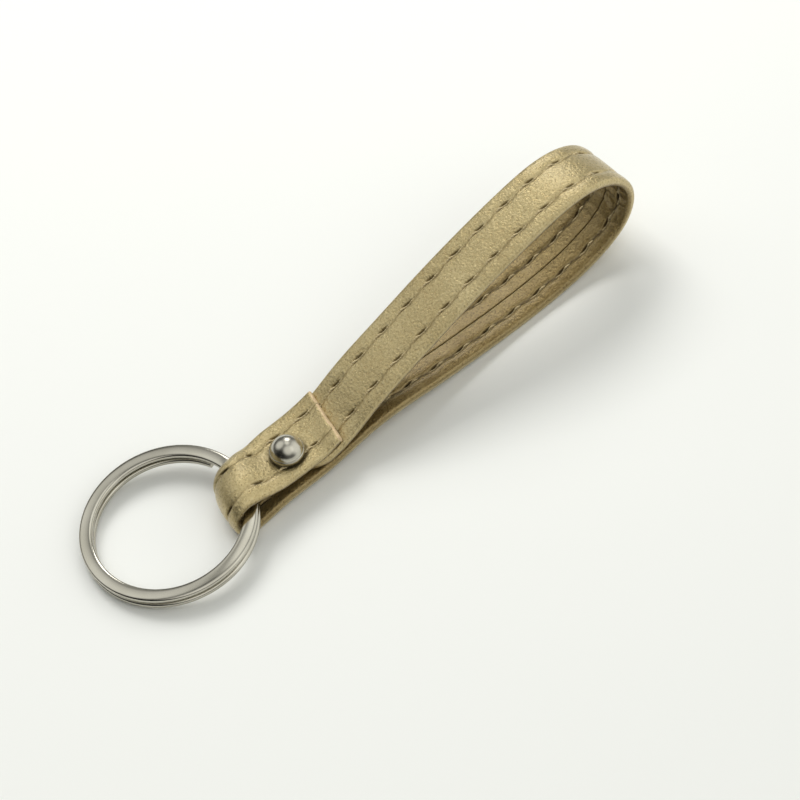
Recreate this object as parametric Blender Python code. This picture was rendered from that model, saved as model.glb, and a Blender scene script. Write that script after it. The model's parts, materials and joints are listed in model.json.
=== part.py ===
# Leather keychain: a stitched strap folded into a hand loop, a rivet and a split ring.
# The keychain lies flat. +X runs from the ring to the loop's tip, +Y across the strap, +Z up.
# Lengths are in metres. While the pieces are made, x is measured from the rivet's axis.

import math

import bmesh
import bpy
import numpy as np
from mathutils import Vector

MM = 0.001

# Fits
FIT_GAP = 0.25 * MM
SWING_GAP = 0.15 * MM
CUT_OVERRUN = 1.0 * MM

# Strap section
STRAP_WIDTH = 12.0 * MM
COVER_WALL = 0.45 * MM
CORE_THICKNESS = 0.4 * MM
SEAM_GAP = 0.3 * MM
EDGE_ROLL = 0.9 * MM
ROW_SPACING = 6.1 * MM
GROOVE_WIDTH = 1.0 * MM
GROOVE_DEPTH = 0.55 * MM
THREAD_DIAMETER = 0.28 * MM

# Strap route, measured from the rivet's axis
LOOP_REACH = 78.7 * MM
LOOP_HEIGHT = 22.0 * MM
FLAP_REACH = 9.75 * MM
FLAP_LIFT = 1.3 * MM
UNDER_LIFT = 1.15 * MM
TAIL_REACH = 3.2 * MM
GRIP_LENGTH = 6.6 * MM
FOLD_REACH = 10.2 * MM
FOLD_YAW = math.radians(18.5)
CUT_ANGLE = math.radians(15.0)

# Middle line of the hand loop, from the lower leg round the tip to the upper leg:
# shares of the reach from the rivet, and of the rise above a strap that lies on the floor.
LOOP_SHARES = (
    (0.205, 0.115),
    (0.375, 0.068),
    (0.530, 0.020),
    (0.660, 0.001),
    (0.750, 0.011),
    (0.832, 0.045),
    (0.915, 0.133),
    (0.977, 0.290),
    (1.000, 0.530),
    (0.972, 0.796),
    (0.912, 0.950),
    (0.833, 1.000),
    (0.750, 0.966),
    (0.614, 0.853),
    (0.470, 0.697),
    (0.330, 0.520),
    (0.210, 0.352),
)

# Rivet. The offset is how far its axis lies from the strap's middle line, along Y.
RIVET_OFFSET = -1.1 * MM
RIVET_CAP_DIAMETER = 6.3 * MM
RIVET_CAP_HEIGHT = 3.2 * MM
RIVET_LIP = 0.5 * MM
RIVET_LIP_STEP = 0.15 * MM
RIVET_SHANK_DIAMETER = 1.8 * MM
RIVET_SEAT_DEPTH = 0.9 * MM
RIVET_BACK_DIAMETER = 6.0 * MM
RIVET_BACK_THICKNESS = 0.7 * MM
RIVET_BACK_CHAMFER = 0.3 * MM

# Split ring
RING_DIAMETER = 32.0 * MM
WIRE_WIDTH = 2.5 * MM
WIRE_THICKNESS = 1.18 * MM
WIRE_CHAMFER = 0.3 * MM
TURN_GAP = 0.45 * MM
RING_INSET = 0.4 * MM
LOWER_END_ANGLE = math.radians(30.0)
CLIMB_START_ANGLE = math.radians(-12.0)
UPPER_END_ANGLE = math.radians(-17.0)

# Counts and steps of the meshes
SHARP_ANGLE = math.radians(35.0)
ROLL_ANGLES = np.radians((-90.0, -45.0, 0.0, 45.0, 90.0))
STATION_LENGTH = 3.0 * MM
STATION_TURN = math.radians(15.0)
LINE_STEPS = 24
CURVE_STEPS = 12
ROUND_STEPS = 32
DOME_STEPS = 6
TURN_STEPS = 24
CLIMB_STEPS = 4
GAP_SAMPLES = 360

# Values worked out from the sizes above
STRAP_THICKNESS = 2 * COVER_WALL + CORE_THICKNESS + 2 * FIT_GAP
LAYER_PITCH = STRAP_THICKNESS + FIT_GAP
CAVITY_WIDTH = ROW_SPACING - GROOVE_WIDTH - 2 * COVER_WALL
CAVITY_HEIGHT = CORE_THICKNESS + 2 * FIT_GAP
CORE_WIDTH = CAVITY_WIDTH - 2 * FIT_GAP
RIVET_HOLE_RADIUS = RIVET_SHANK_DIAMETER / 2 + FIT_GAP

FLOOR_Z = STRAP_THICKNESS / 2
LOWER_Z = RIVET_BACK_THICKNESS + FIT_GAP + STRAP_THICKNESS / 2
TAIL_Z = LOWER_Z + LAYER_PITCH
FLAP_Z = TAIL_Z + LAYER_PITCH
CAP_Z = FLAP_Z + STRAP_THICKNESS / 2 + FIT_GAP

RING_RADIUS = RING_DIAMETER / 2
WIRE_LINE_RADIUS = RING_RADIUS - WIRE_WIDTH / 2
RING_THICKNESS = 2 * WIRE_THICKNESS + TURN_GAP
RING_CLIMB = WIRE_THICKNESS + TURN_GAP


def inner_edge_reach():
    """Distance from the ring's centre to its inner edge, where the wire leaves the strap."""
    half_span = STRAP_WIDTH / 2 / math.cos(FOLD_YAW)
    return math.sqrt((RING_RADIUS - WIRE_WIDTH) ** 2 - half_span ** 2)


def swing_radius():
    """Radius that the wire sweeps inside the fold when the ring swings."""
    side = (RING_RADIUS - inner_edge_reach()) / 2
    top = RING_THICKNESS / 2
    return max(math.hypot(side - WIRE_CHAMFER, top), math.hypot(side, top - WIRE_CHAMFER))


FOLD_RADIUS = swing_radius() + SWING_GAP + STRAP_THICKNESS / 2
FOLD_Z = FLOOR_Z + FOLD_RADIUS
HINGE_X = RING_INSET - FOLD_REACH
CENTRE_OFFSET = (RING_RADIUS + inner_edge_reach()) / 2


def ease(value):
    """Smooth step from 0 to 1."""
    clipped = np.clip(value, 0.0, 1.0)
    return clipped * clipped * (3.0 - 2.0 * clipped)


def clear_scene():
    for item in list(bpy.data.objects):
        bpy.data.objects.remove(item, do_unlink=True)


def material(name, colour, roughness, metallic):
    result = bpy.data.materials.new(name)
    result.use_nodes = True
    shader = result.node_tree.nodes["Principled BSDF"]
    shader.inputs["Base Color"].default_value = (*colour, 1.0)
    shader.inputs["Roughness"].default_value = roughness
    shader.inputs["Metallic"].default_value = metallic
    return result


def skin(name, rings, finish):
    """Closed body through rings of points, with a face over each end."""
    mesh_data = bmesh.new()
    loops = [[mesh_data.verts.new(point) for point in ring] for ring in rings]
    count = len(loops[0])
    for before, after in zip(loops, loops[1:]):
        for index in range(count):
            following = (index + 1) % count
            mesh_data.faces.new((before[index], before[following], after[following], after[index]))
    mesh_data.faces.new(reversed(loops[0]))
    mesh_data.faces.new(loops[-1])
    bmesh.ops.recalc_face_normals(mesh_data, faces=mesh_data.faces)
    mesh = bpy.data.meshes.new(name)
    mesh_data.to_mesh(mesh)
    mesh_data.free()
    mesh.materials.append(finish)
    mesh.shade_smooth()
    mesh.set_sharp_from_angle(angle=SHARP_ANGLE)
    result = bpy.data.objects.new(name, mesh)
    bpy.context.collection.objects.link(result)
    return result


def circle(radius, height):
    """Ring of points round the rivet's axis."""
    angles = np.linspace(0.0, 2 * math.pi, ROUND_STEPS, endpoint=False)
    return [
        (radius * math.cos(a), RIVET_OFFSET + radius * math.sin(a), height)
        for a in angles
    ]


# Route of the strap: each line is an array of rows x, z, shear.
# The shear says how far x moves for each metre of y.

def flap_line():
    """From the cut end over the rivet, then up to the top of the fold."""
    grip = GRIP_LENGTH / 2
    x = np.linspace(FLAP_REACH, -FOLD_REACH, LINE_STEPS * 2)
    lift = FLAP_LIFT * np.clip((x - grip) / (FLAP_REACH - grip), 0.0, 1.0) ** 2
    rise = ease((-grip - x) / (FOLD_REACH - grip))
    z = FLAP_Z + lift + (FOLD_Z + FOLD_RADIUS - FLAP_Z) * rise
    shear = math.tan(FOLD_YAW) * rise + math.tan(CUT_ANGLE) * ease((x - grip) / (FLAP_REACH - grip))
    return np.stack([x, z, shear], axis=1)


def fold_line():
    """Half circle round the wire of the ring."""
    angle = np.linspace(math.pi / 2, 3 * math.pi / 2, LINE_STEPS)
    x = -FOLD_REACH + FOLD_RADIUS * np.cos(angle)
    z = FOLD_Z + FOLD_RADIUS * np.sin(angle)
    return np.stack([x, z, np.full_like(x, math.tan(FOLD_YAW))], axis=1)


def lower_line():
    """From the bottom of the fold to the end of the riveted stretch."""
    grip = GRIP_LENGTH / 2
    x = np.linspace(-FOLD_REACH, grip, LINE_STEPS)
    drop = ease((-grip - x) / (FOLD_REACH - grip))
    z = LOWER_Z - (LOWER_Z - FLOOR_Z) * drop
    return np.stack([x, z, math.tan(FOLD_YAW) * drop], axis=1)


def loop_line():
    """Hand loop, from the riveted stretch of the lower leg to that of the upper leg."""
    grip = GRIP_LENGTH / 2
    rise = LOOP_HEIGHT - FLOOR_Z
    middle = [(LOOP_REACH * along, FLOOR_Z + rise * up) for along, up in LOOP_SHARES]
    under_cut = (FLAP_REACH, TAIL_Z + UNDER_LIFT)
    points = np.array([(grip, LOWER_Z), *middle, under_cut, (grip, TAIL_Z)])
    curve = smooth_curve(points, (1.0, 0.0), (-1.0, 0.0))
    return np.column_stack([curve, np.zeros(len(curve))])


def tail_line():
    """End of the strap between the flap and the lower leg."""
    x = np.linspace(GRIP_LENGTH / 2, -TAIL_REACH, LINE_STEPS)
    return np.stack([x, np.full_like(x, TAIL_Z), np.zeros_like(x)], axis=1)


def smooth_curve(points, first_heading, last_heading):
    """Cubic spline through the points, with the given directions at its ends."""
    steps = np.linalg.norm(np.diff(points, axis=0), axis=1)
    slopes = np.diff(points, axis=0) / steps[:, None]
    count = len(points)
    system = np.eye(count)
    target = np.zeros((count, 2))
    target[0] = first_heading
    target[-1] = last_heading
    for i in range(1, count - 1):
        system[i, i - 1:i + 2] = (steps[i], 2 * (steps[i - 1] + steps[i]), steps[i - 1])
        target[i] = 3 * (steps[i] * slopes[i - 1] + steps[i - 1] * slopes[i])
    tangents = np.linalg.solve(system, target)
    curve = []
    for i in range(count - 1):
        for t in np.linspace(0.0, 1.0, CURVE_STEPS, endpoint=False):
            place = (1 + 2 * t) * (1 - t) ** 2 * points[i] + t * t * (3 - 2 * t) * points[i + 1]
            lean = t * (1 - t) ** 2 * tangents[i] - t * t * (1 - t) * tangents[i + 1]
            curve.append(place + steps[i] * lean)
    curve.append(points[-1])
    return np.array(curve)


def route():
    """Whole middle line of the strap, from the cut end to the hidden end."""
    lines = [flap_line(), fold_line(), lower_line(), loop_line(), tail_line()]
    return np.concatenate([lines[0]] + [line[1:] for line in lines[1:]])


def stations():
    """Places along the route, closer together where the strap bends."""
    rows = route()
    heading = np.unwrap(np.arctan2(*np.gradient(rows[:, :2], axis=0).T[::-1]))
    length = np.concatenate([[0.0], np.cumsum(np.hypot(*np.diff(rows[:, :2], axis=0).T))])
    chosen = [0]
    for i in range(1, len(rows) - 1):
        last = chosen[-1]
        far = length[i] - length[last] >= STATION_LENGTH
        bent = abs(heading[i] - heading[last]) >= STATION_TURN
        if far or bent:
            chosen.append(i)
    if length[-1] - length[chosen[-1]] < STATION_LENGTH / 2:
        chosen.pop()
    chosen.append(len(rows) - 1)
    return [(*rows[i], heading[i]) for i in chosen]


def strap_point(station, across, outward):
    """Point of the strap: across is along +Y, outward is towards the front face."""
    x, z, shear, heading = station
    return (
        x + math.sin(heading) * outward + shear * across,
        across,
        z - math.cos(heading) * outward,
    )


def cover_section():
    """Outline of the wrapped cover: rolled edges, four stitch grooves, seam and cavity."""
    half = STRAP_THICKNESS / 2
    roll_centre = STRAP_WIDTH / 2 - EDGE_ROLL
    edge = [
        (roll_centre + EDGE_ROLL * math.cos(a), half * math.sin(a))
        for a in ROLL_ANGLES
    ]
    near_wall = (ROW_SPACING - GROOVE_WIDTH) / 2
    far_wall = (ROW_SPACING + GROOVE_WIDTH) / 2
    floor = half - GROOVE_DEPTH
    back = [(near_wall, -half), (near_wall, -floor), (far_wall, -floor), (far_wall, -half)]
    front = [(far_wall, half), (far_wall, floor), (near_wall, floor), (near_wall, half)]
    slit = SEAM_GAP / 2
    side = CAVITY_WIDTH / 2
    ceiling = CAVITY_HEIGHT / 2
    right = [(slit, -half), *back, *edge, *front]
    cavity = [(slit, -ceiling), (side, -ceiling), (side, ceiling)]
    left = [(-across, outward) for across, outward in reversed(right)]
    inner = [(-across, outward) for across, outward in cavity]
    return right + left + inner + cavity[::-1]


def core_section():
    side = CORE_WIDTH / 2
    half = CORE_THICKNESS / 2
    return [(-side, -half), (side, -half), (side, half), (-side, half)]


def strap_body(name, section, finish):
    """Strip of the given section along the route, with the rivet's hole."""
    rings = [[strap_point(place, *corner) for corner in section] for place in stations()]
    result = skin(name, rings, finish)
    cutter = rivet_cutter(name + "_cutter")
    drill = result.modifiers.new("rivet_hole", "BOOLEAN")
    drill.operation = "DIFFERENCE"
    drill.solver = "EXACT"
    drill.object = cutter
    return result


def rivet_cutter(name):
    bottom = circle(RIVET_HOLE_RADIUS, LOWER_Z - STRAP_THICKNESS / 2 - CUT_OVERRUN)
    top = circle(RIVET_HOLE_RADIUS, FLAP_Z + STRAP_THICKNESS / 2 + CUT_OVERRUN)
    cutter = skin(name, [bottom, top], None)
    cutter.hide_render = True
    cutter.display_type = "WIRE"
    return cutter


def thread(name, side, face, finish):
    """Thread of one stitch row: side is +1 or -1 across, face is +1 front or -1 back."""
    across = side * ROW_SPACING / 2
    floor = STRAP_THICKNESS / 2 - GROOVE_DEPTH
    outward = face * (floor + FIT_GAP + THREAD_DIAMETER / 2)
    points = [strap_point(place, across, outward) for place in stations()]
    curve = bpy.data.curves.new(name, "CURVE")
    curve.dimensions = "3D"
    curve.bevel_depth = THREAD_DIAMETER / 2
    curve.bevel_resolution = 0
    curve.use_fill_caps = True
    spline = curve.splines.new("POLY")
    spline.points.add(len(points) - 1)
    for knot, point in zip(spline.points, points):
        knot.co = (*point, 1.0)
    curve.materials.append(finish)
    result = bpy.data.objects.new(name, curve)
    bpy.context.collection.objects.link(result)
    return result


def rivet_cap(finish):
    """Domed cap with a thin lip and a blind seat for the shank."""
    seat = RIVET_SHANK_DIAMETER / 2 + FIT_GAP
    rim = RIVET_CAP_DIAMETER / 2
    dome_foot = rim - RIVET_LIP_STEP
    rings = [
        circle(seat, CAP_Z + RIVET_SEAT_DEPTH + FIT_GAP),
        circle(seat, CAP_Z),
        circle(rim, CAP_Z),
        circle(rim, CAP_Z + RIVET_LIP),
    ]
    for step in range(DOME_STEPS):
        angle = math.pi / 2 * step / DOME_STEPS
        height = RIVET_LIP + (RIVET_CAP_HEIGHT - RIVET_LIP) * math.sin(angle)
        rings.append(circle(dome_foot * math.cos(angle), CAP_Z + height))
    return skin("rivet_cap", rings, finish)


def rivet_post(finish):
    """Back cap on the floor, with the shank that passes through the three layers."""
    back = RIVET_BACK_DIAMETER / 2
    shank = RIVET_SHANK_DIAMETER / 2
    rings = [
        circle(back - RIVET_BACK_CHAMFER, 0.0),
        circle(back, RIVET_BACK_CHAMFER),
        circle(back, RIVET_BACK_THICKNESS),
        circle(shank, RIVET_BACK_THICKNESS),
        circle(shank, CAP_Z + RIVET_SEAT_DEPTH),
    ]
    return skin("rivet_post", rings, finish)


def wire_angles():
    """Angles along the wire, from its lower end to its upper end."""
    full = 2 * math.pi
    bounds = [
        LOWER_END_ANGLE,
        full + CLIMB_START_ANGLE,
        full + LOWER_END_ANGLE,
        2 * full + UPPER_END_ANGLE,
    ]
    angles = [bounds[0]]
    for start, end in zip(bounds, bounds[1:]):
        count = max(math.ceil((end - start) / full * TURN_STEPS), CLIMB_STEPS)
        angles.extend(np.linspace(start, end, count + 1)[1:])
    return angles


def wire_section(angle):
    """Flat wire with chamfered edges, square to the ring at the given angle."""
    climb_start = 2 * math.pi + CLIMB_START_ANGLE
    climb_span = LOWER_END_ANGLE - CLIMB_START_ANGLE
    level = RING_CLIMB * (float(ease((angle - climb_start) / climb_span)) - 0.5)
    side = WIRE_WIDTH / 2
    top = WIRE_THICKNESS / 2
    cut = WIRE_CHAMFER
    corners = [
        (side, top - cut), (side - cut, top), (cut - side, top), (-side, top - cut),
        (-side, cut - top), (cut - side, -top), (side - cut, -top), (side, cut - top),
    ]
    return [
        (
            (WIRE_LINE_RADIUS + out) * math.cos(angle) - CENTRE_OFFSET,
            (WIRE_LINE_RADIUS + out) * math.sin(angle),
            level + up,
        )
        for out, up in corners
    ]


def least_turn_gap():
    """Smallest distance between points of the wire that lie over half a turn apart."""
    step = 2 * math.pi / GAP_SAMPLES
    angles = np.arange(LOWER_END_ANGLE, 4 * math.pi + UPPER_END_ANGLE, step)
    sections = np.array([wire_section(angle) for angle in angles])
    least = math.inf
    for i, section in enumerate(sections):
        others = sections[i + GAP_SAMPLES // 2:].reshape(-1, 3)
        if len(others):
            distance = np.linalg.norm(section[:, None] - others[None], axis=2).min()
            least = min(least, float(distance))
    return least


def ring_tilt():
    """Tilt at which the ring's far side just rests on the floor."""
    half = RING_THICKNESS / 2
    corners = [(RING_RADIUS - WIRE_CHAMFER, half), (RING_RADIUS, half - WIRE_CHAMFER)]
    tilts = []
    for radius, depth in corners:
        reach = CENTRE_OFFSET + radius
        tilts.append(math.asin(FOLD_Z / math.hypot(reach, depth)) - math.atan2(depth, reach))
    return min(tilts)


def split_ring(finish):
    """Two turns of flat wire. The object's origin is on the swing axis, its local Y."""
    rings = [wire_section(angle) for angle in wire_angles()]
    result = skin("split_ring", rings, finish)
    result.location = (HINGE_X, 0.0, FOLD_Z)
    result.rotation_euler = (0.0, -ring_tilt(), -FOLD_YAW)
    print("Least gap between the turns of split_ring: %.3f mm" % (least_turn_gap() / MM))
    return result


def centre_on_floor(pieces):
    """Move the whole keychain so that the middle of its footprint is at the origin."""
    bpy.context.view_layer.update()
    corners = []
    for piece in pieces:
        evaluated = piece.evaluated_get(bpy.context.evaluated_depsgraph_get())
        mesh = evaluated.to_mesh()
        corners.extend(piece.matrix_world @ vertex.co for vertex in mesh.vertices)
        evaluated.to_mesh_clear()
    corners = np.array(corners)
    low = corners.min(axis=0)
    high = corners.max(axis=0)
    shift = Vector((-(low[0] + high[0]) / 2, -(low[1] + high[1]) / 2, -low[2]))
    for item in bpy.context.scene.objects:
        item.location += shift


def build():
    clear_scene()
    leather = material("champagne_pu_leather", (0.45, 0.38, 0.20), 0.45, 0.35)
    board = material("beige_fibre_board", (0.73, 0.59, 0.41), 0.85, 0.0)
    cotton = material("gold_polyester_thread", (0.50, 0.42, 0.22), 0.6, 0.0)
    nickel = material("polished_nickel", (0.72, 0.70, 0.67), 0.18, 1.0)
    pieces = [
        strap_body("strap_cover", cover_section(), leather),
        strap_body("strap_core", core_section(), board),
        thread("needle_thread_left", 1, 1, cotton),
        thread("needle_thread_right", -1, 1, cotton),
        thread("bobbin_thread_left", 1, -1, cotton),
        thread("bobbin_thread_right", -1, -1, cotton),
        rivet_cap(nickel),
        rivet_post(nickel),
        split_ring(nickel),
    ]
    centre_on_floor(pieces)


build()
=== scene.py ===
# Looks of the leather keychain: a champagne strap with two stitch rows, a nickel rivet and a
# nickel split ring. Lengths are in millimetres here, and turned to metres when a mesh is placed.

import json
import math

import bpy
import numpy as np
from mathutils import Matrix, Vector


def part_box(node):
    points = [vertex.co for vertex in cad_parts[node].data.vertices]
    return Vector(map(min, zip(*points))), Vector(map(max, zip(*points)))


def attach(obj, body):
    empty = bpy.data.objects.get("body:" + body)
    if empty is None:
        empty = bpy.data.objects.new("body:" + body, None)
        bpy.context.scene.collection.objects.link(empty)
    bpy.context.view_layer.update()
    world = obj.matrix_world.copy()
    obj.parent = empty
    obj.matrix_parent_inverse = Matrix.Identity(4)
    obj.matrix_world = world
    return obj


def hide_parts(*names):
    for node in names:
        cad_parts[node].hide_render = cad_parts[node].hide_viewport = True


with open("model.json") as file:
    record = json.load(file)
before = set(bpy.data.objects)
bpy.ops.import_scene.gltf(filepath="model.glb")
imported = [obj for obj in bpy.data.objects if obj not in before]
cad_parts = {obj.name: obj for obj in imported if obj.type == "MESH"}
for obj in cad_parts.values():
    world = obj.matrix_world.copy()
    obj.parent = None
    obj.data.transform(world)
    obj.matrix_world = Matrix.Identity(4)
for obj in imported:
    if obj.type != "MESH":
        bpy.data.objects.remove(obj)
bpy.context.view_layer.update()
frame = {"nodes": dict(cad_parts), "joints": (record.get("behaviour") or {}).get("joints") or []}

MM = 0.001

# No part of the strap or its threads comes nearer to the table than this
TABLE_CLEARANCE = 0.01

# Strap section
STRAP_WIDTH = 12.0
HALF_WIDTH = STRAP_WIDTH / 2
STRAP_THICKNESS = 1.8
HALF_THICKNESS = STRAP_THICKNESS / 2
EDGE_ROLL = 0.9
EDGE_SQUARENESS = 0.75
ROW_ACROSS = 3.05
LAYER_PITCH = 2.05

# Strap route, the same line as the solid's, measured from the rivet's axis
LOOP_REACH = 78.7
LOOP_HEIGHT = 22.0
FLAP_REACH = 9.75
FLAP_LIFT = 1.3
UNDER_LIFT = 1.15
TAIL_REACH = 3.2
GRIP = 3.3
FOLD_REACH = 10.2
FOLD_RADIUS = 3.368
FOLD_YAW = math.radians(18.5)
CUT_ANGLE = math.radians(15.0)
LOOP_SHARES = (
    (0.205, 0.115), (0.375, 0.068), (0.530, 0.020), (0.660, 0.001), (0.750, 0.011),
    (0.832, 0.045), (0.915, 0.133), (0.977, 0.290), (1.000, 0.530), (0.972, 0.796),
    (0.912, 0.950), (0.833, 1.000), (0.750, 0.966), (0.614, 0.853), (0.470, 0.697),
    (0.330, 0.520), (0.210, 0.352),
)
LOWER_Z = 1.85
TAIL_Z = LOWER_Z + LAYER_PITCH
FLAP_Z = TAIL_Z + LAYER_PITCH
FLOOR_Z = HALF_THICKNESS
FOLD_Z = FLOOR_Z + FOLD_RADIUS
COVER_STEP = 0.3

# Stitching. Side 1 is the left row and -1 the right one; face 1 is the front and -1 the back.
# The first hole of each row is measured from the hidden end, and the last is kept off the cut end.
STITCH_LENGTH = 6.218
FIRST_HOLE = {1: 0.592, -1: 4.719}
CUT_END_MARGIN = 1.6
THREAD_RADIUS = 0.2
THREAD_LEVEL = {1: 0.46, -1: 0.32}
THREAD_STEP = 0.2
ROW_REACH = 2.6
GROOVE_SHARE = {1: 1.0, -1: 1.6}
# painted shade along each row's groove, on the front and on the back
GROOVE_PAINTED_SHADE = {1: 0.2, -1: 0.6}

# Form of the leather: the deepest dent, the creases inside the loop's tip, the fold along the
# left row, the taper of the hidden end and the bevel of the cut end
DEEPEST_DENT = 0.82
CREASE_DEPTH = 0.2
CREASE_LENGTH = 2.1
CREASE_SPREAD = 9.0
FOLD_IN_DEPTH = 0.35
TAPER_DEPTH = 3.4
TAPER_LENGTH = 9.0
BEVEL_DEPTH = 0.32
BEVEL_LENGTH = 0.4

# Rivet: the cap's rim is rows of how far in from its edge and how high, and its dome starts inside
RIVET_OFFSET = -1.1
CAP_RADIUS = 3.15
CAP_HEIGHT = 3.2
CAP_Z = FLAP_Z + HALF_THICKNESS + 0.25
CAP_RIM = (
    (0.45, 0.06), (0.14, 0.0), (0.04, 0.06), (0.0, 0.2), (0.0, 0.45), (0.02, 0.65),
    (0.07, 0.8), (0.13, 0.87), (0.17, 0.88), (0.19, 0.85),
)
DOME_INSET = 0.2
DOME_START = 0.87
BACK_RADIUS = 3.0
BACK_THICKNESS = 0.7
SHANK_RADIUS = 0.9
TURNED_STEPS = 72

# Split ring: angles are in degrees round it
RING_RADIUS = 16.0
WIRE_WIDTH = 2.5
WIRE_THICKNESS = 1.18
WIRE_SQUARENESS = 0.66
TURN_GAP = 0.45
CENTRE_OFFSET = 13.963
LOWER_END_ANGLE = 37.0
CLIMB_START_ANGLE = -12.0
CLIMB_END_ANGLE = 30.0
UPPER_END_ANGLE = -17.0
LEAN = 0.14
LEAN_ANGLE = -50.0
LEAN_SPREAD = 42.0
RING_TILT = math.radians(5.5507)
SPIN_SIGN = -1.0
WIRE_STEPS = 36
LOWER_STEPS = 106
CLIMB_STEPS = 28
UPPER_STEPS = 105

# Camera: it stands where the outlines of the strap and the ring fit the photograph
CAMERA_PITCH = math.radians(52.745)
CAMERA_ROLL = math.radians(-10.158)
CAMERA_TURN = math.radians(33.193)
CAMERA_DISTANCE = 572.8
CAMERA_TARGET = (3.901, -6.712, 0.0)
FOCAL_PIXELS = 3218.0
IMAGE_PIXELS = 800.0
SENSOR_WIDTH = 36.0


def millimetres(point):
    return np.array(point) / MM


cap_low, cap_high = (millimetres(corner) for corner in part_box("rivet_cap"))
RIVET_X, RIVET_Y = ((cap_low + cap_high) / 2)[:2]
STRAP_Y = RIVET_Y - RIVET_OFFSET
SWING = frame["joints"][0]
HINGE = millimetres(SWING["pos_m"])


def ease(value):
    clipped = np.clip(value, 0.0, 1.0)
    return clipped * clipped * (3.0 - 2.0 * clipped)


# Route of the strap: rows of x, z and shear, from the cut end to the hidden end.

def flap_line():
    x = np.linspace(FLAP_REACH, -FOLD_REACH, 160)
    lift = FLAP_LIFT * np.clip((x - GRIP) / (FLAP_REACH - GRIP), 0.0, 1.0) ** 2
    rise = ease((-GRIP - x) / (FOLD_REACH - GRIP))
    z = FLAP_Z + lift + (FOLD_Z + FOLD_RADIUS - FLAP_Z) * rise
    turn = ease((x - GRIP) / (FLAP_REACH - GRIP))
    return np.stack([x, z, math.tan(FOLD_YAW) * rise + math.tan(CUT_ANGLE) * turn], axis=1)


def fold_line():
    angle = np.linspace(math.pi / 2, 3 * math.pi / 2, 96)
    x = -FOLD_REACH + FOLD_RADIUS * np.cos(angle)
    z = FOLD_Z + FOLD_RADIUS * np.sin(angle)
    return np.stack([x, z, np.full_like(x, math.tan(FOLD_YAW))], axis=1)


def lower_line():
    x = np.linspace(-FOLD_REACH, GRIP, 96)
    drop = ease((-GRIP - x) / (FOLD_REACH - GRIP))
    z = LOWER_Z - (LOWER_Z - FLOOR_Z) * drop
    return np.stack([x, z, math.tan(FOLD_YAW) * drop], axis=1)


def loop_line():
    rise = LOOP_HEIGHT - FLOOR_Z
    middle = [(LOOP_REACH * along, FLOOR_Z + rise * up) for along, up in LOOP_SHARES]
    under_cut = (FLAP_REACH, TAIL_Z + UNDER_LIFT)
    points = np.array([(GRIP, LOWER_Z), *middle, under_cut, (GRIP, TAIL_Z)])
    steps = np.linalg.norm(np.diff(points, axis=0), axis=1)
    slopes = np.diff(points, axis=0) / steps[:, None]
    count = len(points)
    system = np.eye(count)
    target = np.zeros((count, 2))
    target[0] = (1.0, 0.0)
    target[-1] = (-1.0, 0.0)
    for i in range(1, count - 1):
        system[i, i - 1:i + 2] = (steps[i], 2 * (steps[i - 1] + steps[i]), steps[i - 1])
        target[i] = 3 * (steps[i] * slopes[i - 1] + steps[i - 1] * slopes[i])
    tangents = np.linalg.solve(system, target)
    line = []
    for i in range(count - 1):
        for t in np.linspace(0.0, 1.0, 48, endpoint=False):
            place = (1 + 2 * t) * (1 - t) ** 2 * points[i] + t * t * (3 - 2 * t) * points[i + 1]
            lean = t * (1 - t) ** 2 * tangents[i] - t * t * (1 - t) * tangents[i + 1]
            line.append((*(place + steps[i] * lean), 0.0))
    line.append((*points[-1], 0.0))
    return np.array(line)


def tail_line():
    x = np.linspace(GRIP, -TAIL_REACH, 64)
    return np.stack([x, np.full_like(x, TAIL_Z), np.zeros_like(x)], axis=1)


def even_route(step):
    """The route at even steps of its length: rows of x, z, shear, outward x, outward z."""
    lines = [flap_line(), fold_line(), lower_line(), loop_line(), tail_line()]
    rows = np.concatenate([lines[0]] + [line[1:] for line in lines[1:]])
    length = np.concatenate([[0.0], np.cumsum(np.hypot(*np.diff(rows[:, :2], axis=0).T))])
    heading = np.gradient(rows[:, :2], axis=0)
    heading /= np.linalg.norm(heading, axis=1)[:, None]
    count = math.ceil(length[-1] / step)
    along = np.linspace(0.0, length[-1], count + 1)
    fields = [rows[:, 0], rows[:, 1], rows[:, 2], heading[:, 1], -heading[:, 0]]
    return along, np.stack([np.interp(along, length, field) for field in fields], axis=1)


def on_strap(route, across, outward):
    """World points, in millimetres, of places given along the route, across it and off it."""
    x, z, shear, out_x, out_z = (route[:, i:i + 1] for i in range(5))
    points = np.empty((len(route), across.shape[-1], 3))
    points[:, :, 0] = x + out_x * outward + shear * across + RIVET_X
    points[:, :, 1] = across + STRAP_Y
    points[:, :, 2] = z + out_z * outward
    return points


def deselect():
    bpy.ops.object.select_all(action="DESELECT")


def wrapped_strip(name, points):
    """A flat grid rolled into a closed strip: points has a row for each step along it."""
    deselect()
    rows, columns = points.shape[0] - 1, points.shape[1]
    bpy.ops.mesh.primitive_grid_add(x_subdivisions=rows, y_subdivisions=columns, size=1.0)
    strip = bpy.context.object
    strip.name = name
    strip.data.name = name
    flat = np.empty(len(strip.data.vertices) * 3)
    strip.data.vertices.foreach_get("co", flat)
    flat = flat.reshape(-1, 3)
    row = np.rint((flat[:, 0] + 0.5) * rows).astype(int)
    column = np.rint((flat[:, 1] + 0.5) * columns).astype(int) % columns
    strip.data.vertices.foreach_set("co", (points[row, column] * MM).ravel())
    strip.data.update()
    return strip, row, column


def close_strip(strip):
    """Join the strip's long seam, close its two ends and turn its faces outwards."""
    bpy.ops.object.mode_set(mode="EDIT")
    bpy.ops.mesh.select_all(action="SELECT")
    bpy.ops.mesh.remove_doubles(threshold=0.001 * MM)
    bpy.ops.mesh.fill_holes(sides=0)
    bpy.ops.mesh.select_all(action="SELECT")
    bpy.ops.mesh.normals_make_consistent(inside=False)
    bpy.ops.object.mode_set(mode="OBJECT")


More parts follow.
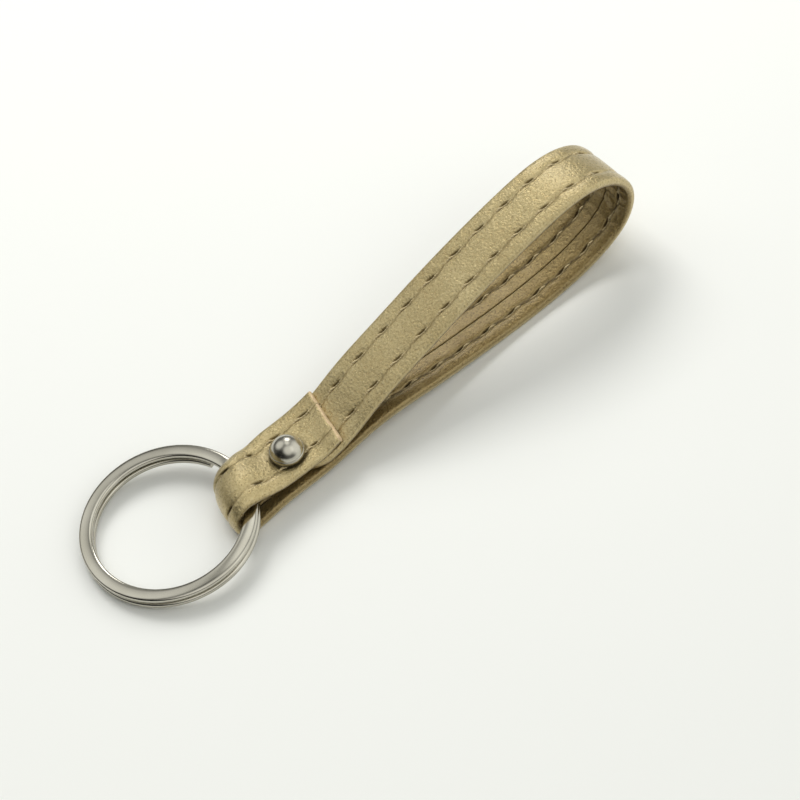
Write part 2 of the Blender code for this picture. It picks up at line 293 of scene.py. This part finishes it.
def waves(along, across, seed, length, height):
    """Gentle unevenness of a face: six crossing sines of about the given length."""
    rng = np.random.default_rng(seed)
    result = np.zeros(np.broadcast(along, across).shape)
    for share in (1.0, 0.8, 0.63, 0.5, 0.41, 0.33):
        turn, phase = rng.uniform(-0.9, 0.9), rng.uniform(0.0, 2 * math.pi)
        line = (along * math.cos(turn) + across * math.sin(turn)) / (length * share)
        result += height * share * np.sin(2 * math.pi * line + phase)
    return result / 2


def cover_section():
    """Columns of the cover's section: how far across the strap and how far off its middle."""
    near_row = np.array([-0.62, -0.48, -0.36, -0.26, -0.17, -0.08, 0.0, 0.08, 0.17, 0.26, 0.36,
                         0.48, 0.62])
    beside_seam = [0.05, 0.1, 0.17]
    inside_row = [0.0, *beside_seam, 0.3, 0.6, 1.0, 1.5, 2.0, 2.35]
    outside_row = [3.8, 4.2, 4.65, 5.1]
    right = inside_row + list(ROW_ACROSS + near_row) + outside_row
    roll = np.radians(np.linspace(-90.0, 90.0, 13))[1:-1]
    across = list(right)
    outward = [-HALF_THICKNESS] * len(right)
    across += list(HALF_WIDTH - EDGE_ROLL + EDGE_ROLL * np.cos(roll) ** EDGE_SQUARENESS)
    outward += list(HALF_THICKNESS * np.sign(roll) * np.abs(np.sin(roll)) ** EDGE_SQUARENESS)
    front = [value for value in right if value not in beside_seam]
    across += front[::-1]
    outward += [HALF_THICKNESS] * len(front)
    left_across = [-value for value in across[-2:0:-1]]
    left_outward = outward[-2:0:-1]
    return np.array(across + left_across), np.array(outward + left_outward)


ALONG, ROUTE = even_route(COVER_STEP)
TOTAL = ALONG[-1]
TIP_ALONG = ALONG[ROUTE[:, 0].argmax()]


def from_hole(along, side):
    """How far past the nearest hole of a stitch row each place along the route is."""
    places = np.arange(TOTAL - FIRST_HOLE[side], CUT_END_MARGIN, -STITCH_LENGTH)
    gap = along[:, None] - places[None, :]
    return gap[np.arange(len(along)), np.abs(gap).argmin(axis=1)]


def stitch_slant(nearest):
    """The thread leaves a hole on one side of the row and reaches the next on the other side."""
    return 0.14 * np.clip(nearest / 0.9, -1.0, 1.0) - 0.09 * nearest / STITCH_LENGTH


def fold_share(route):
    """1 round the fold, easing to 0 towards the rivet and at the table."""
    x, z = route[:, 0], route[:, 1]
    along = np.clip(-x / FOLD_REACH, 0.0, 1.0) ** 1.4
    return along * ease((z - FLOOR_Z) / FOLD_RADIUS)


def tail_taper(along):
    """How far the right edge is drawn in towards the strap's hidden end."""
    return TAPER_DEPTH * ease((along - TOTAL + TAPER_LENGTH) / TAPER_LENGTH)


# The next four functions press marks into the cover's two faces. They change depth, which is how
# far in each place is, and the painted shade of each place's crack or hollow, from 0 to 1.

def press_stitch_rows(across, face, depth, crack_shade):
    """A groove in a wider dent, a slot at each hole, and the leather swelling outside the row;
    painted shade darkens each slot and a line along the groove.
    """
    off_row = np.abs(across) - ROW_ACROSS
    for side in (1, -1):
        nearest = from_hole(ALONG, side)[:, None]
        pinch = 0.5 + 0.5 * np.cos(2 * math.pi * nearest / STITCH_LENGTH)
        for front in (1, -1):
            mine = (np.sign(across) == side) & (face == front) & (np.abs(off_row) < ROW_REACH)
            off_thread = off_row[mine][None, :] - side * stitch_slant(nearest)
            groove = (0.16 + 0.12 * pinch) * np.exp(-(off_thread / 0.26) ** 2)
            dent = (0.05 + 0.06 * pinch) * np.exp(-(off_thread / 0.75) ** 2)
            slot = np.exp(-nearest ** 6 - (off_thread / 0.3) ** 4)
            line = GROOVE_PAINTED_SHADE[front] * np.exp(-(off_thread / 0.22) ** 2)
            swell = 0.09 * np.exp(-((off_thread - 1.15) / 0.62) ** 2)
            depth[:, mine] += GROOVE_SHARE[front] * groove + dent + 0.4 * slot
            depth[:, mine] -= swell * (1.15 - 0.55 * pinch)
            # painted shade in each slot and along the groove
            crack_shade[:, mine] = np.maximum(slot, line)


def crease_inner_face(across, face, depth, crack_shade):
    """Creases where the loop's tip is tightest, and the back panel folded in by the left row, with
    painted shade in that fold.
    """
    along, inner = ALONG[:, None], face == -1
    squeeze = np.exp(-((along - TIP_ALONG) / CREASE_SPREAD) ** 2) * inner
    bend = 1.4 * np.sin(0.9 * across[None, :] + 0.35 * along)
    crease = np.sin(2 * math.pi * along / CREASE_LENGTH + bend)
    depth += CREASE_DEPTH * squeeze * np.maximum(crease, -0.2)
    past_tip = (along - TIP_ALONG - 9.0) / 13.0
    off_fold = (across - ROW_ACROSS + 0.3) / 0.5
    fold_in = np.exp(-past_tip ** 4 - off_fold ** 2)
    depth += FOLD_IN_DEPTH * fold_in * inner
    # painted shade in the fold by the left row
    np.maximum(crack_shade, 0.7 * fold_in * inner, out=crack_shade)


def press_rivet(across, face, depth, crack_shade):
    """The leather gives way under the rim of the rivet's cap, and painted shade darkens it in a
    ring round the rim.
    """
    on_flap = (ALONG[:, None] < FLAP_REACH + FOLD_REACH) & (face == 1)[None, :]
    from_rim = np.hypot(ROUTE[:, :1], across[None, :] - RIVET_OFFSET) - CAP_RADIUS
    depth += on_flap * 0.22 * np.exp(-((from_rim + 0.1) / 0.75) ** 2)
    # painted shade in a ring round the cap's rim
    np.maximum(crack_shade, on_flap * 0.7 * np.exp(-(from_rim / 0.5) ** 2), out=crack_shade)


def press_seam(across, face, depth, crack_shade):
    """The two folded edges meet along the middle of the back, and painted shade darkens the crack
    between them.
    """
    seam = (face == -1) & (np.abs(across) < 0.25)
    depth[:, seam] += 0.42 * np.exp(-(across[seam] / 0.07) ** 2)
    # painted shade in the seam's crack
    crack_shade[:, seam] = np.maximum(crack_shade[:, seam], 0.8 * np.exp(-(across[seam] / 0.06) ** 2))


def mark_points(mesh, name, values):
    mark = mesh.attributes.new(name, "FLOAT", "POINT")
    mark.data.foreach_set("value", values.astype(np.float32))


def strap_cover():
    """The leather band, with its wear, from the cut end to the hidden one."""
    across, outward = cover_section()
    along = ALONG[:, None]
    sideways = np.broadcast_to(across, (len(ALONG), len(across))).copy()
    off_middle = np.broadcast_to(outward, sideways.shape).copy()
    face = np.sign(outward) * (np.abs(outward) > HALF_THICKNESS - 0.001)
    depth = np.zeros_like(sideways)
    crack_shade = np.zeros_like(sideways)
    press_stitch_rows(across, face, depth, crack_shade)
    # the front panel is a little full between the rows, and neither face is quite even
    depth -= 0.05 * np.clip(1.0 - (across / 2.4) ** 2, 0.0, 1.0) * (face > 0)
    depth += waves(along, across[None, :], 5, 8.0, 0.03) * np.abs(face)[None, :]
    crease_inner_face(across, face, depth, crack_shade)
    np.minimum(depth, DEEPEST_DENT, out=depth)
    press_rivet(across, face, depth, crack_shade)
    press_seam(across, face, depth, crack_shade)
    off_middle -= depth * face[None, :]
    # the leather is stretched round the ring: full in the middle of the fold, thin and drawn in
    # at its edges, most at the left one
    stretch = fold_share(ROUTE)[:, None]
    edge_share = np.clip(np.abs(across) / HALF_WIDTH, 0.0, 1.0) ** 3
    fullness = np.clip(0.55 - 1.15 * (across / HALF_WIDTH) ** 2, -0.6, 0.55)
    off_middle += stretch * ((outward > 0) * fullness)
    sideways -= stretch * edge_share * np.where(across > 0.0, 1.3, -0.45)
    # the hidden end tapers away from its right edge, so that it doesn't show beside the flap
    sideways += tail_taper(ALONG)[:, None] * np.clip(-across / HALF_WIDTH, 0.0, 1.0)[None, :]
    # the cut end is bevelled, so that the raw middle of the leather shows
    bevel = np.clip((BEVEL_LENGTH - along) / BEVEL_LENGTH, 0.0, 1.0)
    off_middle -= np.where(outward > 0.0, BEVEL_DEPTH, 0.0)[None, :] * bevel
    points = on_strap(ROUTE, sideways, off_middle)
    # the knife slipped a little where it crossed the right row
    points[:, :, 0] += 0.22 * ease((-1.9 - across) / 0.7) * np.clip(1.0 - along / 1.5, 0.0, 1.0)
    points[:, :, 2] = np.maximum(points[:, :, 2], TABLE_CLEARANCE)
    strip, row, column = wrapped_strip("strap_cover_leather", points)
    data = strip.data
    # painted shade of cracks and hollows, which the leather's material darkens by
    mark_points(data, "painted_crack_shade", crack_shade[row, column])
    mark_points(data, "inner_face", (outward < 0)[column])
    data.materials.append(LEATHER)
    data.materials.append(RAW_EDGE)
    where = np.empty(len(data.loops) * 2)
    data.uv_layers[0].data.foreach_get("uv", where)
    where = where.reshape(-1, 4, 2)[:, :, 0].mean(axis=1) * TOTAL
    data.polygons.foreach_set("material_index", (where < BEVEL_LENGTH).astype(np.int32))
    close_strip(strip)
    # the caps that close the two ends: the raw middle at the cut end, leather at the hidden one
    for polygon in data.polygons:
        if len(polygon.vertices) > 4:
            near_cut = polygon.center.z / MM > FLAP_Z
            polygon.material_index = 1 if near_cut else 0
    bpy.ops.object.shade_smooth_by_angle(angle=math.radians(50.0))
    return strip


def stitch_row(name, side, face):
    """One thread: it comes up out of each hole, sinks into the groove and dips at the next."""
    along, route = even_route(THREAD_STEP)
    nearest = from_hole(along, side)
    dip = np.exp(-((nearest + 0.15) / 0.75) ** 4)
    rise = np.exp(-((nearest - 1.25) / 0.55) ** 2)
    middle = face * (THREAD_LEVEL[face] + 0.3 * rise - 0.22 * dip)
    drawn_in = tail_taper(along) * ROW_ACROSS / HALF_WIDTH * (side < 0)
    sway = side * ROW_ACROSS + stitch_slant(nearest) + drawn_in
    turn = np.linspace(0.0, 2 * math.pi, 8, endpoint=False)
    across = sway[:, None] + THREAD_RADIUS * np.cos(turn)[None, :]
    outward = middle[:, None] + THREAD_RADIUS * np.sin(turn)[None, :]
    points = on_strap(route, across, outward)
    points[:, :, 2] = np.maximum(points[:, :, 2], TABLE_CLEARANCE)
    strip = wrapped_strip(name, points)[0]
    strip.data.materials.append(THREAD)
    close_strip(strip)
    bpy.ops.object.shade_smooth()
    return strip


def turned(name, profile, finish):
    """Round piece on the rivet's axis: a circle is drawn out and resized up the profile."""
    deselect()
    radius, height = profile[0]
    centre = Vector((RIVET_X, RIVET_Y, height)) * MM
    bpy.ops.mesh.primitive_circle_add(vertices=TURNED_STEPS, radius=radius * MM,
                                      fill_type="NGON", location=centre)
    piece = bpy.context.object
    piece.name = name
    piece.data.name = name
    bpy.ops.object.mode_set(mode="EDIT")
    bpy.ops.mesh.select_all(action="SELECT")
    for new_radius, new_height in profile[1:]:
        bpy.ops.mesh.extrude_region_move(
            TRANSFORM_OT_translate={"value": (0.0, 0.0, (new_height - height) * MM)})
        centre = Vector((RIVET_X, RIVET_Y, new_height)) * MM
        share = new_radius / radius
        bpy.ops.transform.resize(value=(share, share, 1.0), center_override=centre)
        radius, height = new_radius, new_height
    bpy.ops.mesh.select_all(action="SELECT")
    bpy.ops.mesh.normals_make_consistent(inside=False)
    bpy.ops.object.mode_set(mode="OBJECT")
    bpy.ops.object.transform_apply(location=True, rotation=True, scale=True)
    piece.data.materials.append(finish)
    bpy.ops.object.shade_smooth_by_angle(angle=math.radians(38.0))
    return piece


def rivet_dome():
    """Cap with a rounded rim, a fine step and a dome that is part of a ball."""
    profile = [(CAP_RADIUS - inset, CAP_Z + height) for inset, height in CAP_RIM]
    foot, dome = CAP_RADIUS - DOME_INSET, CAP_HEIGHT - DOME_START
    ball = (foot ** 2 + dome ** 2) / (2 * dome)
    for angle in np.linspace(math.asin(foot / ball), 0.03, 32):
        profile.append((ball * math.sin(angle), CAP_Z + CAP_HEIGHT - ball * (1 - math.cos(angle))))
    return turned("rivet_dome_nickel", profile, RIVET_NICKEL)


def rivet_back():
    """Back cap with a rounded edge, and the shank, which passes up through the three layers."""
    profile = [(2.5, 0.0), (2.75, 0.03), (2.92, 0.14), (BACK_RADIUS, 0.32),
               (BACK_RADIUS, BACK_THICKNESS), (SHANK_RADIUS, BACK_THICKNESS),
               (SHANK_RADIUS, CAP_Z + 0.6), (SHANK_RADIUS - 0.2, CAP_Z + 0.85)]
    return turned("rivet_back_nickel", profile, RIVET_NICKEL)


def split_ring():
    """Flat wire: its section is spun for one turn, climbs past its own end, and goes on."""
    deselect()
    level = (WIRE_THICKNESS + TURN_GAP) / 2
    start = math.radians(LOWER_END_ANGLE)
    line_radius = RING_RADIUS - WIRE_WIDTH / 2
    bpy.ops.mesh.primitive_circle_add(vertices=WIRE_STEPS, radius=1.0, fill_type="NGON")
    ring = bpy.context.object
    ring.name = "split_ring_nickel"
    ring.data.name = ring.name
    half = np.array((WIRE_WIDTH, WIRE_THICKNESS, 1.0)) / 2 * MM
    for corner in ring.data.vertices:
        round_place = np.array(corner.co)
        corner.co = np.sign(round_place) * np.abs(round_place) ** WIRE_SQUARENESS * half
    upright = Matrix.Rotation(math.radians(90.0), 4, "X")
    place = Matrix.Translation(Vector((line_radius, 0.0, -level)) * MM)
    ring.data.transform(Matrix.Rotation(start, 4, "Z") @ place @ upright)
    bpy.ops.object.mode_set(mode="EDIT")
    bpy.ops.mesh.select_all(action="SELECT")

    def spin(angle, steps):
        bpy.ops.mesh.spin(steps=steps, angle=math.radians(angle) * SPIN_SIGN, center=(0, 0, 0),
                          axis=(0, 0, 1), use_auto_merge=False)

    spin(360.0 + CLIMB_START_ANGLE - LOWER_END_ANGLE, LOWER_STEPS)
    span = CLIMB_END_ANGLE - CLIMB_START_ANGLE
    for step in range(CLIMB_STEPS):
        before, after = ease(np.array([step, step + 1]) / CLIMB_STEPS)
        spin(span / CLIMB_STEPS, 1)
        bpy.ops.transform.translate(value=(0.0, 0.0, 2 * level * (after - before) * MM))
    spin(360.0 + UPPER_END_ANGLE - CLIMB_END_ANGLE, UPPER_STEPS)
    bpy.ops.mesh.select_all(action="SELECT")
    bpy.ops.mesh.normals_make_consistent(inside=False)
    bpy.ops.object.mode_set(mode="OBJECT")
    # drawn wire never winds quite flat: its top leans out a little on one side
    for corner in ring.data.vertices:
        x, y, z = corner.co
        off = (math.degrees(math.atan2(y, x)) - LEAN_ANGLE + 180.0) % 360.0 - 180.0
        lean = LEAN * math.exp(-(off / LEAN_SPREAD) ** 2)
        corner.co.z = z - lean * (math.hypot(x, y) - line_radius * MM)
    axis = Vector(SWING["axis"])
    yaw = math.atan2(axis[0], axis[1])
    home = Matrix.Translation(Vector(HINGE) * MM) @ Matrix.Rotation(-yaw, 4, "Z")
    tilt = Matrix.Rotation(-RING_TILT, 4, "Y")
    ring.data.transform(home @ tilt @ Matrix.Translation((-CENTRE_OFFSET * MM, 0.0, 0.0)))
    ring.data.materials.append(NICKEL)
    bpy.ops.object.shade_smooth_by_angle(angle=math.radians(30.0))
    return ring


# Materials

def linear(code, alpha=1.0):
    """Linear colour from an sRGB hex value."""
    parts = [int(code[i:i + 2], 16) / 255 for i in (0, 2, 4)]
    return (*[c / 12.92 if c <= 0.04045 else ((c + 0.055) / 1.055) ** 2.4 for c in parts], alpha)


def add_node(tree, kind, inputs=None, stops=(), **settings):
    """Add a node. An input is a value, or a socket to link from; stops are a colour ramp's."""
    made = tree.nodes.new(kind)
    for key, value in settings.items():
        setattr(made, key, value)
    for key, value in (inputs or {}).items():
        if isinstance(value, bpy.types.NodeSocket):
            tree.links.new(value, made.inputs[key])
        else:
            made.inputs[key].default_value = value
    if stops:
        elements = made.color_ramp.elements
        while len(elements) < len(stops):
            elements.new(0.5)
        for element, (position, code) in zip(elements, stops):
            element.position = position
            element.color = linear(code)
    return made


def new_material(name):
    made = bpy.data.materials.new(name)
    made.use_nodes = True
    tree = made.node_tree
    return made, tree, tree.nodes["Principled BSDF"]


def metallic_pu_leather():
    """Metallic PU leather, embossed, pearl-coated: a satin glint that breaks up on the grain."""
    made, tree, shader = new_material("metallic_pu_leather")
    where = add_node(tree, "ShaderNodeTexCoord").outputs["Object"]
    # pebbles of 0.65 mm, wrinkles of 0.4 mm between them, and clouds of 11 mm in the coat
    pebble = add_node(tree, "ShaderNodeTexVoronoi", {"Vector": where, "Scale": 1550.0})
    fine = add_node(tree, "ShaderNodeTexNoise", {"Vector": where, "Scale": 2500.0, "Detail": 3.0,
                                                 "Roughness": 0.65})
    cloud = add_node(tree, "ShaderNodeTexNoise", {"Vector": where, "Scale": 90.0, "Detail": 3.0})
    tone = add_node(tree, "ShaderNodeMix", {0: 0.35, 2: fine.outputs["Fac"],
                                            3: cloud.outputs["Fac"]}, data_type="FLOAT")
    colour = add_node(tree, "ShaderNodeValToRGB", {"Fac": tone.outputs[0]},
                      stops=[(0.36, "b09c6d"), (0.5, "bfad7e"), (0.64, "cfbe90")])
    # painted shade: dark brown in its holes, cracks and creases and round the rivet, and darker on
    # the whole back face for the shade inside the loop
    crack_shade = add_node(tree, "ShaderNodeAttribute", attribute_name="painted_crack_shade")
    shade = add_node(tree, "ShaderNodeMix", {0: crack_shade.outputs["Fac"], 6: colour.outputs["Color"],
                                             7: linear("33270f")}, data_type="RGBA")
    # painted shade: the whole back face is multiplied darker, for the loop's inside that the sky
    # hardly reaches
    inner = add_node(tree, "ShaderNodeAttribute", attribute_name="inner_face")
    painted_inner_shade = add_node(tree, "ShaderNodeMix", {0: inner.outputs["Fac"], 6: shade.outputs[2],
                                              7: linear("c2baa8")}, data_type="RGBA",
                      blend_type="MULTIPLY")
    tree.links.new(painted_inner_shade.outputs[2], shader.inputs["Base Color"])
    shader.inputs["Metallic"].default_value = 0.8
    # the clear top coat lies smooth over the grain
    shader.inputs["Coat Weight"].default_value = 0.4
    shader.inputs["Coat Roughness"].default_value = 0.28
    gloss = add_node(tree, "ShaderNodeMapRange", {"Value": fine.outputs["Fac"], "To Min": 0.22,
                                                  "To Max": 0.36})
    tree.links.new(gloss.outputs[0], shader.inputs["Roughness"])
    height = add_node(tree, "ShaderNodeMath", {0: pebble.outputs["Distance"], 1: -0.5,
                                               2: fine.outputs["Fac"]}, operation="MULTIPLY_ADD")
    bump = add_node(tree, "ShaderNodeBump", {"Height": height.outputs[0], "Strength": 1.0,
                                             "Distance": 0.14 * MM})
    tree.links.new(bump.outputs[0], shader.inputs["Normal"])
    return made


def raw_backing():
    """Cut edge of the PU leather: matt beige fibres, slightly furry."""
    made, tree, shader = new_material("raw_leather_backing")
    where = add_node(tree, "ShaderNodeTexCoord").outputs["Object"]
    # tufts of 0.25 mm
    fibre = add_node(tree, "ShaderNodeTexNoise", {"Vector": where, "Scale": 4000.0, "Detail": 4.0})
    colour = add_node(tree, "ShaderNodeValToRGB", {"Fac": fibre.outputs["Fac"]},
                      stops=[(0.35, "c2a881"), (0.65, "e0c8a2")])
    tree.links.new(colour.outputs["Color"], shader.inputs["Base Color"])
    shader.inputs["Roughness"].default_value = 0.9
    bump = add_node(tree, "ShaderNodeBump", {"Height": fibre.outputs["Fac"], "Strength": 0.5,
                                             "Distance": 0.08 * MM})
    tree.links.new(bump.outputs[0], shader.inputs["Normal"])
    return made


def polyester_thread():
    """Twisted polyester sewing thread: a soft sheen along slanted plies, and painted light and
    shade on them.
    """
    made, tree, shader = new_material("polyester_thread")
    uv = add_node(tree, "ShaderNodeUVMap", uv_map="UVMap").outputs["UV"]
    split = add_node(tree, "ShaderNodeSeparateXYZ", {"Vector": uv})
    # one ply crosses the thread every 0.5 mm along it
    ply_pitch = 0.5
    length = add_node(tree, "ShaderNodeMath", {0: split.outputs["X"], 1: TOTAL / ply_pitch},
                      operation="MULTIPLY")
    twist = add_node(tree, "ShaderNodeMath", {0: length.outputs[0], 1: split.outputs["Y"]},
                     operation="ADD")
    turns = add_node(tree, "ShaderNodeMath", {0: twist.outputs[0], 1: 2 * math.pi},
                     operation="MULTIPLY")
    ply = add_node(tree, "ShaderNodeMath", {0: turns.outputs[0]}, operation="SINE")
    share = add_node(tree, "ShaderNodeMapRange", {"Value": ply.outputs[0], "From Min": -1.0})
    # painted light and shade: each ply is lighter on its crest and darker where it meets the next
    colour = add_node(tree, "ShaderNodeValToRGB", {"Fac": share.outputs[0]},
                      stops=[(0.0, "b09c6e"), (1.0, "d2c298")])
    tree.links.new(colour.outputs["Color"], shader.inputs["Base Color"])
    shader.inputs["Roughness"].default_value = 0.55
    shader.inputs["Sheen Weight"].default_value = 0.25
    bump = add_node(tree, "ShaderNodeBump", {"Height": share.outputs[0], "Strength": 0.6,
                                             "Distance": 0.05 * MM})
    tree.links.new(bump.outputs[0], shader.inputs["Normal"])
    return made


def nickel_plate(name, smooth, worn):
    """Nickel plate over steel: a warm grey mirror, softened by fine handling marks. Roughness
    runs from smooth to worn."""
    made, tree, shader = new_material(name)
    where = add_node(tree, "ShaderNodeTexCoord").outputs["Object"]
    # clouds of 6 mm in the polish, and handling marks of 0.2 mm
    cloud = add_node(tree, "ShaderNodeTexNoise", {"Vector": where, "Scale": 160.0, "Detail": 2.0})
    marks = add_node(tree, "ShaderNodeTexNoise", {"Vector": where, "Scale": 5000.0, "Detail": 2.0})
    colour = add_node(tree, "ShaderNodeValToRGB", {"Fac": cloud.outputs["Fac"]},
                      stops=[(0.3, "b9b5a8"), (0.7, "c8c4b8")])
    tree.links.new(colour.outputs["Color"], shader.inputs["Base Color"])
    shader.inputs["Metallic"].default_value = 1.0
    gloss = add_node(tree, "ShaderNodeMapRange", {"Value": cloud.outputs["Fac"], "To Min": smooth,
                                                  "To Max": worn})
    tree.links.new(gloss.outputs[0], shader.inputs["Roughness"])
    bump = add_node(tree, "ShaderNodeBump", {"Height": marks.outputs["Fac"], "Strength": 0.06,
                                             "Distance": 0.01 * MM})
    tree.links.new(bump.outputs[0], shader.inputs["Normal"])
    return made


def fibre_board():
    """Bonded leather board inside the strap: pressed beige fibres, quite matt."""
    made, tree, shader = new_material("bonded_leather_board")
    where = add_node(tree, "ShaderNodeTexCoord").outputs["Object"]
    # fibres pressed into flakes of 0.4 mm
    fibre = add_node(tree, "ShaderNodeTexNoise", {"Vector": where, "Scale": 2500.0, "Detail": 4.0})
    colour = add_node(tree, "ShaderNodeValToRGB", {"Fac": fibre.outputs["Fac"]},
                      stops=[(0.35, "b89a74"), (0.65, "dcc19c")])
    tree.links.new(colour.outputs["Color"], shader.inputs["Base Color"])
    shader.inputs["Roughness"].default_value = 0.92
    bump = add_node(tree, "ShaderNodeBump", {"Height": fibre.outputs["Fac"], "Strength": 0.4,
                                             "Distance": 0.05 * MM})
    tree.links.new(bump.outputs[0], shader.inputs["Normal"])
    return made


def white_table():
    """Satin white lacquer of a table top: pale, with no mirror image in it."""
    made, tree, shader = new_material("white_table_top")
    shader.inputs["Base Color"].default_value = linear("f4f5f2")
    shader.inputs["Roughness"].default_value = 0.55
    return made


LEATHER = metallic_pu_leather()
RAW_EDGE = raw_backing()
THREAD = polyester_thread()
NICKEL = nickel_plate("polished_nickel_plate", 0.11, 0.19)
RIVET_NICKEL = nickel_plate("tumbled_nickel_plate", 0.17, 0.3)
BOARD = fibre_board()


def dress(piece, body, slot, *nodes):
    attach(piece, body)
    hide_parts(*nodes)


dress(strap_cover(), "strap", "cover_leather", "strap_cover")
dress(stitch_row("needle_stitches_left", 1, 1), "strap", "thread", "needle_thread_left")
dress(stitch_row("needle_stitches_right", -1, 1), "strap", "thread", "needle_thread_right")
dress(stitch_row("bobbin_stitches_left", 1, -1), "strap", "thread", "bobbin_thread_left")
dress(stitch_row("bobbin_stitches_right", -1, -1), "strap", "thread", "bobbin_thread_right")
dress(rivet_dome(), "strap", "nickel", "rivet_cap")
dress(rivet_back(), "strap", "nickel", "rivet_post")
dress(split_ring(), "ring", "nickel", "split_ring")
core = frame["nodes"]["strap_core"]
core.data.materials.clear()
core.data.materials.append(BOARD)


# Table, light and camera

TABLE_SIZE = 3000.0
TABLE_Z = -0.05
WALL_LEVEL = 0.9
LAMP_WHITE = (1.0, 0.99, 0.97)


def table():
    deselect()
    bpy.ops.mesh.primitive_plane_add(size=TABLE_SIZE * MM, location=(0.0, 0.0, TABLE_Z * MM))
    floor = bpy.context.object
    floor.name = "table_top"
    floor.data.materials.append(white_table())


def soft_light(name, position, target, size, power, glossy):
    """Square lamp, placed and sized in metres. Metal mirrors it only if it is glossy."""
    deselect()
    bpy.ops.object.light_add(type="AREA", location=position)
    lamp = bpy.context.object
    lamp.name = name
    lamp.data.shape = "SQUARE"
    lamp.data.size = size
    lamp.data.energy = power
    lamp.data.color = LAMP_WHITE
    lamp.visible_glossy = glossy
    lamp.rotation_euler = (Vector(target) - Vector(position)).to_track_quat("-Z", "Y").to_euler()


# Parts of the room's light: direction, cosines where it starts and is full, and what it adds.
# A skylight over the back of the table, the pale wall at its right, a ceiling lamp, a window at
# the front right, the ceiling over the camera and a dark doorway at the left.
ROOM_PARTS = (
    ((-0.27, 0.62, 0.74), 0.84, 0.97, 0.90),
    ((0.54, 0.56, 0.63), 0.89, 0.98, 0.26),
    ((0.34, 0.22, 0.915), 0.955, 0.988, 1.15),
    ((0.80, -0.50, 0.33), 0.58, 0.96, 1.00),
    ((-0.08, -0.52, 0.85), 0.74, 0.97, 0.92),
    ((-0.97, -0.18, 0.16), 0.55, 0.95, -0.10),
)
ROOM_BASE = 0.12


def room_light():
    """World light: the parts of the room over a dim base, and a plain wall to the camera."""
    world = bpy.data.worlds.new("pale_room")
    bpy.context.scene.world = world
    world.use_nodes = True
    tree = world.node_tree
    where = add_node(tree, "ShaderNodeTexCoord").outputs["Generated"]
    total = ROOM_BASE
    for direction, start, full, amount in ROOM_PARTS:
        side = add_node(tree, "ShaderNodeVectorMath", {0: where, 1: direction},
                        operation="DOT_PRODUCT")
        share = add_node(tree, "ShaderNodeMapRange",
                         {"Value": side.outputs["Value"], "From Min": start, "From Max": full,
                          "To Min": 0.0, "To Max": amount}, interpolation_type="SMOOTHSTEP")
        total = add_node(tree, "ShaderNodeMath", {0: total, 1: share.outputs[0]},
                         operation="ADD").outputs[0]
    path = add_node(tree, "ShaderNodeLightPath")
    seen = add_node(tree, "ShaderNodeMix", {0: path.outputs["Is Camera Ray"], 2: total,
                                            3: WALL_LEVEL}, data_type="FLOAT")
    shade = tree.nodes["Background"]
    shade.inputs["Color"].default_value = linear("fbfcf8")
    tree.links.new(seen.outputs[0], shade.inputs["Strength"])


def camera():
    right = Vector((math.cos(CAMERA_TURN), -math.sin(CAMERA_TURN), 0.0))
    away = Vector((math.sin(CAMERA_TURN), math.cos(CAMERA_TURN), 0.0))
    forward = away * math.cos(CAMERA_PITCH) - Vector((0.0, 0.0, math.sin(CAMERA_PITCH)))
    up = right.cross(forward)
    rolled_right = right * math.cos(CAMERA_ROLL) + up * math.sin(CAMERA_ROLL)
    rolled_up = up * math.cos(CAMERA_ROLL) - right * math.sin(CAMERA_ROLL)
    deselect()
    place = Vector(CAMERA_TARGET) - forward * CAMERA_DISTANCE
    bpy.ops.object.camera_add(location=place * MM)
    made = bpy.context.object
    basis = Matrix((rolled_right, rolled_up, -forward)).transposed()
    made.rotation_euler = basis.to_euler()
    made.data.sensor_width = SENSOR_WIDTH
    made.data.lens = SENSOR_WIDTH * FOCAL_PIXELS / IMAGE_PIXELS
    made.data.clip_start, made.data.clip_end = 0.01, 10.0
    bpy.context.scene.camera = made


table()
room_light()
# the skylight gives the short soft shadows, and the reading lamp the sheen of the loop's tip
soft_light("skylight", (0.10, 0.64, 0.78), (0.0, 0.0, 0.0), 0.45, 4.3, False)
soft_light("tip_lamp", (0.24, 0.24, 0.28), (0.05, 0.0, 0.02), 0.16, 0.3, True)
camera()

bpy.context.scene.view_settings.view_transform = "Standard"
